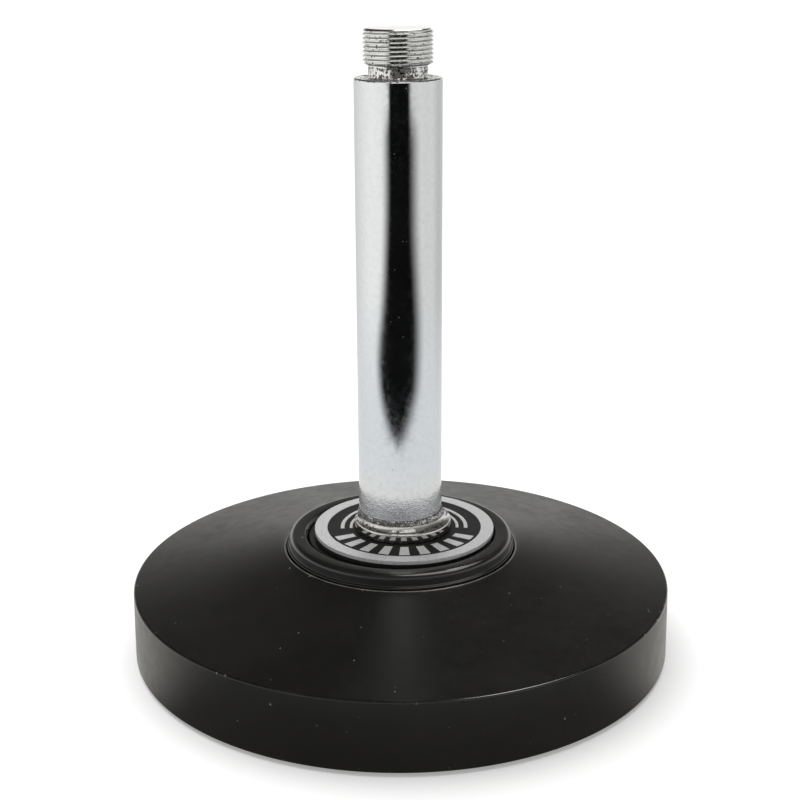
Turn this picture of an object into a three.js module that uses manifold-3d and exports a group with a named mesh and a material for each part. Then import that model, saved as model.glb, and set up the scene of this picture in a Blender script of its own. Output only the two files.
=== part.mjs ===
// Desktop microphone stand: a heavy cast base with a seated hub collar and a
// badge disc, a plated tubular stem with a 5/8 in - 27 UNS stud at its top, and
// a clamp stud, washers and nut that hold the stem to the base from below.
// Millimetres, +Z up. Origin: centre of the plane the rubber feet rest on.
// The badge disc, its backing and the foot cup's flare sit slightly towards +X.

import * as THREE from "three";
import { mergeVertices } from "three/addons/utils/BufferGeometryUtils.js";
import Module from "manifold-3d";

const wasm = await Module();
wasm.setup();

// ---------------------------------------------------------------- materials
const FINISH = {
  casting: { color: 0x1b1a19, roughness: 0.5, metalness: 0.25 },
  collar: { color: 0x141414, roughness: 0.28, metalness: 0.1 },
  fibre: { color: 0x101010, roughness: 0.85, metalness: 0.0 },
  badge: { color: 0xc4c6c6, roughness: 0.42, metalness: 0.9 },
  rubber: { color: 0x161616, roughness: 0.9, metalness: 0.0 },
  cup: { color: 0xb9bcbd, roughness: 0.16, metalness: 1.0 },
  stem: { color: 0xcfd2d4, roughness: 0.12, metalness: 1.0 },
  thread: { color: 0xc9cbcc, roughness: 0.22, metalness: 1.0 },
  clampPlug: { color: 0x9a9c9d, roughness: 0.35, metalness: 1.0 },
  flatWasher: { color: 0xa7a8a6, roughness: 0.38, metalness: 1.0 },
  springWasher: { color: 0x6f706e, roughness: 0.45, metalness: 1.0 },
  nut: { color: 0x8c8d8b, roughness: 0.36, metalness: 1.0 },
};

// ---------------------------------------------------------------- shared dimensions
const FIT = 0.02;              // face-to-face gap between stacked pieces

const BASE_BOTTOM = 0.8;       // height of the casting above the desk
const SEAT_LIP_Z = 25.15;      // height of the cone at the collar seat
const SEAT_FLOOR_Z = 22.4;
const BOSS_TOP_Z = 27.9;
const CLAMP_FACE_Z = 15.8;     // underside of the boss, where the washer bears

const FOOT_R = 5.0;
const FOOT_SINK = 1.0;         // depth of the spot face each foot sits in
const FOOT_STEM_R = 2.5;
const FOOT_STEM_TOP = 6.6;
const FOOT_PCR = 59.2;         // radius of the circle the feet stand on
const FOOT_COUNT = 4;

const BADGE_TOP_Z = 29.9;
const BADGE_T = 0.9;
const BADGE_BOTTOM_Z = BADGE_TOP_Z - BADGE_T;

const STEM_R = 10.0;
const STEM_BORE_R = 8.4;
const CUP_SEAT_Z = 30.9;       // floor of the cup, where the stem stands
const STEM_BOTTOM_Z = CUP_SEAT_Z + FIT;
const STEM_TOP_Z = 137.65;
const PLUG_R = STEM_BORE_R - 0.05;
const PLUG_CHAMFER = 0.6;

// ---------------------------------------------------------------- helpers
// Welds a geometry, drops collapsed triangles and turns the faces outward.
function clean(geometry) {
  const bare = geometry.clone();
  bare.deleteAttribute("normal");
  bare.deleteAttribute("uv");
  const welded = mergeVertices(bare, 1e-4);
  const { position } = welded.attributes;
  const index = welded.index.array;
  const kept = [];
  let volume = 0;
  const corners = [new THREE.Vector3(), new THREE.Vector3(), new THREE.Vector3()];
  for (let i = 0; i < index.length; i += 3) {
    const triangle = [index[i], index[i + 1], index[i + 2]];
    if (new Set(triangle).size < 3) continue;
    corners.forEach((corner, j) => corner.fromBufferAttribute(position, triangle[j]));
    volume += corners[0].dot(corners[1].clone().cross(corners[2])) / 6;
    kept.push(...triangle);
  }
  if (volume < 0) {
    for (let i = 0; i < kept.length; i += 3) {
      [kept[i + 1], kept[i + 2]] = [kept[i + 2], kept[i + 1]];
    }
  }
  welded.setIndex(kept);
  return welded;
}

// Revolves a profile of [radius, height] pairs about +Z. A profile that starts
// on the axis also ends there; any other is closed into a loop.
function lathe(profile, segments) {
  const points = profile.map(([radius, z]) => new THREE.Vector2(radius, z));
  if (profile[0][0] > 0) points.push(points[0].clone());
  return clean(new THREE.LatheGeometry(points, segments).rotateX(Math.PI / 2));
}

// Points of an arc in the profile plane, angles in degrees.
function arc({ centreR, centreZ, radius, from, to, steps }) {
  const points = [];
  for (let i = 0; i <= steps; i++) {
    const angle = THREE.MathUtils.degToRad(from + ((to - from) * i) / steps);
    points.push([centreR + radius * Math.cos(angle), centreZ + radius * Math.sin(angle)]);
  }
  return points;
}

// Stacks rings of points, each ring a function of the angle, into one surface.
function skin(rings, segments) {
  const positions = [];
  const index = [];
  for (const ring of rings) {
    for (let i = 0; i <= segments; i++) positions.push(...ring((2 * Math.PI * i) / segments));
  }
  const width = segments + 1;
  for (let j = 0; j + 1 < rings.length; j++) {
    for (let i = 0; i < segments; i++) {
      const near = j * width + i;
      const far = near + width;
      index.push(near, near + 1, far + 1, near, far + 1, far);
    }
  }
  const geometry = new THREE.BufferGeometry();
  geometry.setAttribute("position", new THREE.Float32BufferAttribute(positions, 3));
  geometry.setIndex(index);
  return clean(geometry);
}

// A level circle for skin().
const ringAt = (radius, z, x = 0, y = 0) => (angle) => [
  x + radius * Math.cos(angle),
  y + radius * Math.sin(angle),
  z,
];

function toSolid(geometry) {
  const welded = clean(geometry);
  return new wasm.Manifold(new wasm.Mesh({
    numProp: 3,
    vertProperties: new Float32Array(welded.attributes.position.array),
    triVerts: new Uint32Array(welded.index.array),
  }));
}

function fromSolid(solid) {
  const mesh = solid.getMesh();
  const positions = new Float32Array(mesh.vertProperties);
  const geometry = new THREE.BufferGeometry();
  geometry.setAttribute("position", new THREE.BufferAttribute(positions, 3));
  geometry.setIndex(Array.from(mesh.triVerts));
  return clean(geometry);
}

// Adds a flat-shaded mesh to a group.
function addPiece(group, name, geometry, finish) {
  const faceted = geometry.toNonIndexed();
  faceted.computeVertexNormals();
  const mesh = new THREE.Mesh(faceted, new THREE.MeshStandardMaterial(finish));
  mesh.name = name;
  group.add(mesh);
}

// ---------------------------------------------------------------- rubber feet
// The feet stand on the diagonals between the X and Y axes.
const footCentres = Array.from({ length: FOOT_COUNT }, (_, i) => {
  const angle = Math.PI / 4 + (i * 2 * Math.PI) / FOOT_COUNT;
  return [FOOT_PCR * Math.cos(angle), FOOT_PCR * Math.sin(angle)];
});

function rubberFoot([x, y]) {
  const edge = 0.4;
  const stemEdge = 0.6;
  const shoulderZ = BASE_BOTTOM + FOOT_SINK - FIT;
  return lathe([
    [0, 0],
    [FOOT_R - edge, 0],
    [FOOT_R, edge],
    [FOOT_R, shoulderZ],
    [FOOT_STEM_R, shoulderZ],
    [FOOT_STEM_R, FOOT_STEM_TOP - stemEdge],
    [FOOT_STEM_R - stemEdge, FOOT_STEM_TOP],
    [0, FOOT_STEM_TOP],
  ], 16).translate(x, y, 0);
}

// Cutter for one foot's spot face and stem hole.
function footHole([x, y]) {
  const spotR = FOOT_R + 0.12;
  const spotZ = BASE_BOTTOM + FOOT_SINK;
  const stemHoleR = FOOT_STEM_R + 0.06;
  const stemHoleTop = FOOT_STEM_TOP + 0.3;
  const cutterBottom = BASE_BOTTOM - 1;
  return lathe([
    [0, cutterBottom],
    [spotR, cutterBottom],
    [spotR, spotZ],
    [stemHoleR, spotZ],
    [stemHoleR, stemHoleTop],
    [0, stemHoleTop],
  ], 16).translate(x, y, 0);
}

// ---------------------------------------------------------------- base casting
function baseCasting() {
  const bottomR = 65.4;
  const topR = 65.1;
  const rimZ = 17.5;           // height of the cone at the rim
  const rimRound = 0.9;
  const rimRoundDrop = 0.72;   // centre of the rim's round below rimZ
  const coneMidR = 47.0;
  const seatR = 28.1;          // where the cone meets the collar seat
  const seatLip = 0.35;        // width of the edge at the top of the seat
  const seatWallR = seatR - 0.12;
  const bossR = 22.4;
  const bossEdge = 0.3;
  const studHoleR = 8.2;
  const recessR = 53.0;
  const recessZ = 4.4;         // ceiling of the shallow recess under the base
  const pocketR = 19.5;        // pocket for the clamp nut
  const pocketEdge = 0.8;
  const coneAt = (radius) => rimZ + ((SEAT_LIP_Z - rimZ) * (topR - radius)) / (topR - seatR);

  // [radius, height], outward along the underside, then inward over the top
  const profile = [
    [studHoleR, CLAMP_FACE_Z],
    [pocketR - pocketEdge, CLAMP_FACE_Z],
    [pocketR, CLAMP_FACE_Z - pocketEdge],
    [pocketR + 0.4, recessZ + 0.6],
    [pocketR + 1.1, recessZ],
    [recessR - 1.6, recessZ],
    [recessR - 0.3, recessZ - 0.9],
    [recessR, BASE_BOTTOM],
    [bottomR - 0.7, BASE_BOTTOM],
    [bottomR - 0.2, BASE_BOTTOM + 0.2],
    [bottomR, BASE_BOTTOM + 0.7],
    ...arc({
      centreR: topR - rimRound,
      centreZ: rimZ - rimRoundDrop,
      radius: rimRound,
      from: 0,
      to: 78,
      steps: 2,
    }),
    [coneMidR, coneAt(coneMidR)],
    [seatR + seatLip, coneAt(seatR + seatLip)],
    [seatR, SEAT_LIP_Z + 0.02],
    [seatWallR, SEAT_LIP_Z - 0.25],
    [seatWallR, SEAT_FLOOR_Z],
    [bossR, SEAT_FLOOR_Z],
    [bossR, BOSS_TOP_Z - bossEdge],
    [bossR - bossEdge, BOSS_TOP_Z],
    [studHoleR, BOSS_TOP_Z],
  ];
  let casting = toSolid(lathe(profile, 48));
  for (const centre of footCentres) casting = casting.subtract(toSolid(footHole(centre)));
  return fromSolid(casting);
}

// ---------------------------------------------------------------- hub collar
function hubCollar() {
  const footR = 27.65;
  const wallR = 27.05;
  const innerR = 22.65;
  const bandR = 23.35;         // inner edge of the top band
  const bandEdge = 0.15;
  const topZ = 28.7;
  const topRound = 1.35;
  const bottomZ = SEAT_FLOOR_Z + FIT;
  return lathe([
    [innerR, bottomZ],
    [footR, bottomZ],
    [footR, SEAT_LIP_Z + 0.42],
    [footR - 0.18, SEAT_LIP_Z + 0.6],
    [wallR + 0.1, SEAT_LIP_Z + 0.66],
    [wallR, SEAT_LIP_Z + 0.95],
    ...arc({
      centreR: wallR - 0.1 - topRound,
      centreZ: topZ - topRound,
      radius: topRound,
      from: 0,
      to: 90,
      steps: 4,
    }),
    [bandR + bandEdge, topZ],
    [bandR, topZ - bandEdge],
    [innerR, topZ - 1.0],
  ], 48);
}

// ---------------------------------------------------------------- badge stack
// Fibre washer between the boss and the badge.
function badgeBacking() {
  const radius = 21.4;
  const holeR = 8.75;
  const offsetX = 0.45;
  const bottomZ = BOSS_TOP_Z + FIT;
  const topZ = BADGE_BOTTOM_Z - FIT;
  return lathe([
    [holeR, bottomZ],
    [radius, bottomZ],
    [radius, topZ],
    [holeR, topZ],
  ], 40).translate(offsetX, 0, 0);
}

function badgePlate() {
  const radius = 21.8;
  const holeR = 9.1;
  const edge = 0.12;
  const offsetX = 0.92;
  return lathe([
    [holeR, BADGE_BOTTOM_Z],
    [radius, BADGE_BOTTOM_Z],
    [radius, BADGE_TOP_Z - edge],
    [radius - edge, BADGE_TOP_Z],
    [holeR, BADGE_TOP_Z],
  ], 48).translate(offsetX, 0, 0);
}

// ---------------------------------------------------------------- foot cup
// A flared ring that seats the stem on the badge. Its foot is off centre and
// the flare eases back to the stem's axis at the top.
function footCup() {
  const radius = 11.76;
  const offsetX = 0.62;
  const offsetY = 0.25;
  const boreR = 8.15;
  const wallR = STEM_R + 0.06;
  const topZ = 35.0;
  const bottomZ = BADGE_TOP_Z + FIT;
  // [radius, height, share of the foot's offset]
  const flare = [
    [radius, 31.9, 1.0],
    [11.5, 32.2, 0.94],
    [10.86, 32.77, 0.72],
    [10.6, 33.26, 0.5],
    [10.39, 33.9, 0.26],
    [10.2, topZ, 0.0],
  ];
  return skin([
    ringAt(boreR, bottomZ),
    ringAt(radius - 0.1, bottomZ, offsetX, offsetY),
    ringAt(radius, BADGE_TOP_Z + 0.12, offsetX, offsetY),
    ...flare.map(([flareR, z, share]) => ringAt(flareR, z, offsetX * share, offsetY * share)),
    ringAt(wallR, topZ),
    ringAt(wallR, CUP_SEAT_Z),
    ringAt(boreR, CUP_SEAT_Z),
    ringAt(boreR, bottomZ),
  ], 36);
}

// ---------------------------------------------------------------- stem tube
function stemTube() {
  const bottomEdge = 0.2;
  const topEdge = 0.32;
  return lathe([
    [STEM_BORE_R, STEM_BOTTOM_Z],
    [STEM_R - bottomEdge, STEM_BOTTOM_Z],
    [STEM_R, STEM_BOTTOM_Z + bottomEdge],
    [STEM_R, STEM_TOP_Z - topEdge],
    [STEM_R - topEdge, STEM_TOP_Z],
    [STEM_BORE_R, STEM_TOP_Z],
  ], 40);
}

// ---------------------------------------------------------------- top plug
// Microphone thread, 5/8 in - 27 UNS
const THREAD_MAJOR_R = 7.93;
const THREAD_PITCH = 25.4 / 27;
const THREAD_ROOT_R = THREAD_MAJOR_R - 0.6134 * THREAD_PITCH;
const THREAD_FROM_Z = 140.55;
const THREAD_TO_Z = 148.4;
const THREAD_END_R = THREAD_MAJOR_R - 0.55;   // at the chamfered ends

// Rows follow the right-hand helix: root, flank, crest, flank, once per pitch.
function threadRows() {
  const endBand = 0.05;        // rows this close to an end are flattened onto it
  const lowerSlope = 1.6;      // radius gained per height on the lower chamfer
  // [share of a pitch, radius]
  const section = [
    [-0.07, THREAD_ROOT_R],
    [0.07, THREAD_ROOT_R],
    [0.43, THREAD_MAJOR_R],
    [0.57, THREAD_MAJOR_R],
  ];
  const rowAt = (turn, phase, radius) => (angle) => {
    const z = THREAD_FROM_Z + (turn + phase + angle / (2 * Math.PI)) * THREAD_PITCH;
    if (z < THREAD_FROM_Z + endBand) return ringAt(THREAD_END_R, THREAD_FROM_Z)(angle);
    if (z > THREAD_TO_Z - endBand) return ringAt(THREAD_END_R, THREAD_TO_Z)(angle);
    const limited = Math.min(
      radius,
      THREAD_END_R + (THREAD_TO_Z - z),
      THREAD_END_R + (z - THREAD_FROM_Z) * lowerSlope,
    );
    return ringAt(limited, z)(angle);
  };
  const turns = Math.ceil((THREAD_TO_Z - THREAD_FROM_Z) / THREAD_PITCH);
  const rows = [];
  for (let turn = -1; turn <= turns; turn++) {
    for (const [phase, radius] of section) rows.push(rowAt(turn, phase, radius));
  }
  return rows;
}

function topThreadPlug() {
  const bottomZ = 120.0;
  const shoulderZ = STEM_TOP_Z - 0.05;
  const neckR = 6.72;
  const neckFillet = 0.25;
  const threadStep = 0.2;      // cone between the neck and the thread
  return skin([
    ringAt(0, bottomZ),
    ringAt(PLUG_R - PLUG_CHAMFER, bottomZ),
    ringAt(PLUG_R, bottomZ + PLUG_CHAMFER),
    ringAt(PLUG_R, shoulderZ),
    ringAt(neckR + neckFillet, shoulderZ),
    ringAt(neckR, STEM_TOP_Z + neckFillet),
    ringAt(neckR, THREAD_FROM_Z - threadStep),
    ringAt(neckR + threadStep, THREAD_FROM_Z),
    ringAt(THREAD_END_R, THREAD_FROM_Z),
    ...threadRows(),
    ringAt(THREAD_END_R, THREAD_TO_Z),
    ringAt(0, THREAD_TO_Z),
  ], 28);
}

// ---------------------------------------------------------------- bottom plug
// Plug in the stem's foot with the clamp stud, drawn plain without its thread.
function bottomClampPlug() {
  const studR = 7.94;
  const studBottomZ = 4.0;
  const studChamfer = 0.9;
  const topZ = 49.0;
  return lathe([
    [0, studBottomZ],
    [studR - studChamfer, studBottomZ],
    [studR, studBottomZ + studChamfer],
    [studR, STEM_BOTTOM_Z + 0.6],
    [PLUG_R, STEM_BOTTOM_Z + 0.9],
    [PLUG_R, topZ - PLUG_CHAMFER],
    [PLUG_R - PLUG_CHAMFER, topZ],
    [0, topZ],
  ], 32);
}

// ---------------------------------------------------------------- clamp hardware
// Stacked downward from the clamp face: flat washer, spring washer, nut.
const WASHER_T = 1.8;
const SPRING_T = 2.3;
const WASHER_HOLE_R = 8.3;     // both washers
const WASHER_TOP = CLAMP_FACE_Z - FIT;
const WASHER_BOTTOM = WASHER_TOP - WASHER_T;
const SPRING_TOP = WASHER_BOTTOM - FIT;
const SPRING_BOTTOM = SPRING_TOP - SPRING_T;
const NUT_TOP = SPRING_BOTTOM - FIT;

function flatWasher() {
  const radius = 16.6;
  const edge = 0.2;
  return lathe([
    [WASHER_HOLE_R, WASHER_BOTTOM],
    [radius - edge, WASHER_BOTTOM],
    [radius, WASHER_BOTTOM + edge],
    [radius, WASHER_TOP],
    [WASHER_HOLE_R, WASHER_TOP],
  ], 32);
}

// Split ring with a slanted gap on its +Y side.
function springWasher() {
  const radius = 13.0;
  const gap = 1.6;
  const halfGap = Math.asin(gap / 2 / ((radius + WASHER_HOLE_R) / 2));
  const slant = halfGap / 2;   // turn of the gap's inner end towards +X
  const start = Math.PI / 2 + halfGap;
  const end = Math.PI / 2 - halfGap + 2 * Math.PI;
  const outline = new THREE.Shape();
  outline.absarc(0, 0, radius, start, end, false);
  outline.absarc(0, 0, WASHER_HOLE_R, end - slant, start - slant, true);
  const ring = new THREE.ExtrudeGeometry(outline, {
    depth: SPRING_T,
    bevelEnabled: false,
    curveSegments: 20,
  });
  return clean(ring.translate(0, 0, SPRING_BOTTOM));
}

// A hexagonal prism trimmed by a turned envelope that chamfers corners and bore.
function hexNut() {
  const flatR = 23.8 / 2;      // half the width across flats, 15/16 in
  const cornerR = flatR / Math.cos(Math.PI / 6);
  const height = 6.5;
  const holeR = 8.05;
  const boreChamfer = 0.7;
  const cornerDrop = 1.1;      // height of the corner chamfer
  const faceR = flatR - 0.1;
  const envelopeR = cornerR + 0.25;
  const overrun = 0.001;       // keeps the envelope's faces clear of the prism's
  const bottomZ = NUT_TOP - height;

  const corners = [];
  for (let i = 0; i < 6; i++) {
    const angle = (i * Math.PI) / 3;
    corners.push(new THREE.Vector2(cornerR * Math.cos(angle), cornerR * Math.sin(angle)));
  }
  const hexagon = new THREE.Shape(corners).closePath();
  const prism = new THREE.ExtrudeGeometry(hexagon, { depth: height, bevelEnabled: false });
  prism.translate(0, 0, bottomZ);
  const envelope = lathe([
    [holeR + boreChamfer, bottomZ - overrun],
    [faceR, bottomZ - overrun],
    [envelopeR, bottomZ + cornerDrop],
    [envelopeR, NUT_TOP - cornerDrop],
    [faceR, NUT_TOP + overrun],
    [holeR + boreChamfer, NUT_TOP + overrun],
    [holeR, NUT_TOP - boreChamfer],
    [holeR, bottomZ + boreChamfer],
  ], 32);
  return fromSolid(toSolid(prism).intersect(toSolid(envelope)));
}

// ---------------------------------------------------------------- assembly
const stand = new THREE.Group();
stand.name = "desktop_mic_stand";
const base = new THREE.Group();
const stem = new THREE.Group();
const clamp = new THREE.Group();
stand.add(base, stem, clamp);

addPiece(base, "base_casting", baseCasting(), FINISH.casting);
addPiece(base, "hub_collar", hubCollar(), FINISH.collar);
addPiece(base, "badge_backing", badgeBacking(), FINISH.fibre);
addPiece(base, "badge_plate", badgePlate(), FINISH.badge);
footCentres.forEach((centre, i) => {
  addPiece(base, `rubber_foot_${i + 1}`, rubberFoot(centre), FINISH.rubber);
});
addPiece(base, "foot_cup", footCup(), FINISH.cup);

addPiece(stem, "stem_tube", stemTube(), FINISH.stem);
addPiece(stem, "top_thread_plug", topThreadPlug(), FINISH.thread);
addPiece(stem, "bottom_clamp_plug", bottomClampPlug(), FINISH.clampPlug);

addPiece(clamp, "flat_washer", flatWasher(), FINISH.flatWasher);
addPiece(clamp, "spring_washer", springWasher(), FINISH.springWasher);
addPiece(clamp, "hex_nut", hexNut(), FINISH.nut);

export default stand;
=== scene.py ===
"""A round black base with a badge, a plated stem threaded at the top, and its clamp hardware.

The stem's axis is +Z through the origin, the table is z = 0, and the front faces -Y.
Piece sizes and profiles are in millimetres; lights, floor and camera are in metres.
"""
import math
from functools import cached_property

import bmesh
import bpy
from mathutils import Matrix, Vector


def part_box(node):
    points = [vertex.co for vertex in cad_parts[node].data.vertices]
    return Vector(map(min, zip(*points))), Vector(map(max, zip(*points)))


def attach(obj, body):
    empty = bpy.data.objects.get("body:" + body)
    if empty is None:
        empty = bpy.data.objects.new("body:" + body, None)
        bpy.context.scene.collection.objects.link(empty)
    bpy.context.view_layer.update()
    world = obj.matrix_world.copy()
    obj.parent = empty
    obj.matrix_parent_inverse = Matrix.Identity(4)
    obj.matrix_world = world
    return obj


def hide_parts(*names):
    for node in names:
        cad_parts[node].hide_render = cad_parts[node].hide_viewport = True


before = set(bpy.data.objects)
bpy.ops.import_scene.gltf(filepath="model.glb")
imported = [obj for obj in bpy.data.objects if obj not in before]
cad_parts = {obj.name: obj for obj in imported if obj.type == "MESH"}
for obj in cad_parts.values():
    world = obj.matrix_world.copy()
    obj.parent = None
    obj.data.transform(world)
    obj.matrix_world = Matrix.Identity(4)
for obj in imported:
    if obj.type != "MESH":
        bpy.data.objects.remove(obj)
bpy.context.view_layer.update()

MM = 0.001
scene = bpy.context.scene

# ---------------------------------------------------------------- sizes (mm)


def box_mm(node):
    low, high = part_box(node)
    return [v / MM for v in low], [v / MM for v in high]


casting_lo, casting_hi = box_mm("base_casting")
collar_lo, collar_hi = box_mm("hub_collar")
badge_lo, badge_hi = box_mm("badge_plate")
backing_lo, backing_hi = box_mm("badge_backing")
cup_lo, cup_hi = box_mm("foot_cup")
tube_lo, tube_hi = box_mm("stem_tube")
top_lo, top_hi = box_mm("top_thread_plug")
bottom_lo, bottom_hi = box_mm("bottom_clamp_plug")
washer_lo, washer_hi = box_mm("flat_washer")
spring_lo, spring_hi = box_mm("spring_washer")
nut_lo, nut_hi = box_mm("hex_nut")
foot_boxes = [box_mm(f"rubber_foot_{i}") for i in range(1, 5)]

BADGE_X = (badge_lo[0] + badge_hi[0]) / 2
BADGE_R = (badge_hi[0] - badge_lo[0]) / 2
BACKING_X = (backing_lo[0] + backing_hi[0]) / 2
BACKING_R = (backing_hi[0] - backing_lo[0]) / 2
STEM_R = (tube_hi[0] - tube_lo[0]) / 2
BASE_R = (casting_hi[0] - casting_lo[0]) / 2
BASE_Z = casting_lo[2]
RIM_Z = 17.5
RIM_R = BASE_R - 0.3  # the side tapers in to this at the rim
SEAT_R, SEAT_Z = 28.1, 25.15  # upper end of the cone, where the collar sits
CONE_SAG = 0.18

THREAD_R = 7.93
THREAD_PITCH = 25.4 / 27  # 27 threads to the inch
PLUG_R = 8.35  # both plugs, inside the tube
TUBE_BORE_R = 8.4
WASHER_BORE_R = 8.3

FOOT_R, FOOT_PEG_R = 5.0, 2.5
POCKET_DEPTH = 1.0

CUP_SHIFT = (0.62, 0.25)  # how far the flange sits off centre, in x and y
CUP_BORE_R = 10.06

BADGE_RING_R = 18.75  # inner edge of the outer ring
BADGE_RELIEF = 0.09

# ---------------------------------------------------------------- mesh helpers


def make_object(name, bm, mats, sharp=32.0):
    """Turns a bmesh into a smooth-shaded object; edges over `sharp` degrees stay crisp."""
    bmesh.ops.remove_doubles(bm, verts=bm.verts, dist=1e-8)
    bmesh.ops.recalc_face_normals(bm, faces=bm.faces)
    for face in bm.faces:
        face.smooth = True
    mesh = bpy.data.meshes.new(name)
    bm.to_mesh(mesh)
    bm.free()
    for mat in mats:
        mesh.materials.append(mat)
    mesh.set_sharp_from_angle(angle=math.radians(sharp))
    ob = bpy.data.objects.new(name, mesh)
    scene.collection.objects.link(ob)
    return ob


def hand_over(ob, piece, ride):
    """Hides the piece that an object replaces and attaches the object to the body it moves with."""
    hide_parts(piece)
    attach(ob, ride)
    return ob


def polar(r, angle, z, x=0.0, y=0.0):
    """A point in metres from a radius, an angle and a height about an upright axis at x, y."""
    return (x + r * math.cos(angle)) * MM, (y + r * math.sin(angle)) * MM, z * MM


def rounded(points):
    """A closed profile with its corners rounded. Points are (r, z[, radius[, steps]])."""
    out = []
    for i, point in enumerate(points):
        here = Vector(point[:2])
        radius = point[2] if len(point) > 2 else 0.0
        if radius <= 0:
            out.append((here.x, here.y))
            continue
        back = Vector(points[i - 1][:2]) - here
        ahead = Vector(points[(i + 1) % len(points)][:2]) - here
        back_len, ahead_len = back.length, ahead.length
        back.normalize()
        ahead.normalize()
        half = math.acos(max(-1, min(1, back.dot(ahead)))) / 2
        inset = min(radius / math.tan(half), back_len * 0.49, ahead_len * 0.49)
        fitted = inset * math.tan(half)
        centre = here + (back + ahead).normalized() * (fitted / math.sin(half))
        start = here + back * inset - centre
        turn = start.angle_signed(here + ahead * inset - centre)
        steps = point[3] if len(point) > 3 else 5
        # a row beside the rounding keeps the flat next to it flat when it is shaded smooth
        hold = inset + min(0.15, radius * 0.6)
        if hold < back_len * 0.48:
            out.append((here.x + back.x * hold, here.y + back.y * hold))
        for k in range(steps + 1):
            t = -turn * k / steps
            out.append((centre.x + start.x * math.cos(t) - start.y * math.sin(t),
                        centre.y + start.x * math.sin(t) + start.y * math.cos(t)))
        if hold < ahead_len * 0.48:
            out.append((here.x + ahead.x * hold, here.y + ahead.y * hold))
    return out


def split_long(profile, longest):
    """Adds rows to long straight runs of a closed profile, so that faces stay even."""
    out = []
    for i, (r, z) in enumerate(profile):
        r_next, z_next = profile[(i + 1) % len(profile)]
        out.append((r, z))
        if r < 1e-9 and r_next < 1e-9:
            continue
        extra = int(math.hypot(r_next - r, z_next - z) // longest)
        for j in range(1, extra + 1):
            out.append((r + (r_next - r) * j / (extra + 1), z + (z_next - z) * j / (extra + 1)))
    return out


def skin(bm, rows, seg):
    """Joins rings of vertices, the last one back to the first. A ring may be a single vertex."""
    for j, lower in enumerate(rows):
        upper = rows[(j + 1) % len(rows)]
        if len(lower) == 1 and len(upper) == 1:
            continue
        for i in range(seg):
            k = (i + 1) % seg
            corners = (lower[i % len(lower)], lower[k % len(lower)],
                       upper[k % len(upper)], upper[i % len(upper)])
            bm.faces.new(list(dict.fromkeys(corners)))


def revolve(bm, profile, seg, centre=(0.0, 0.0), shift=None):
    """Revolves a closed profile. shift(r, z) gives a sideways shift for one row."""
    rows = []
    for r, z in profile:
        dx, dy = shift(r, z) if shift else (0.0, 0.0)
        count = 1 if r < 1e-6 else seg
        ring_r = 0.0 if count == 1 else r
        rows.append([
            bm.verts.new(polar(ring_r, 2 * math.pi * i / seg, z, centre[0] + dx, centre[1] + dy))
            for i in range(count)
        ])
    skin(bm, rows, seg)


def turned(name, profile, mat, seg, sharp=32.0, centre=(0.0, 0.0), shift=None):
    bm = bmesh.new()
    revolve(bm, profile, seg, centre, shift)
    return make_object(name, bm, [mat], sharp)


# ---------------------------------------------------------------- shader helpers


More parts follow.
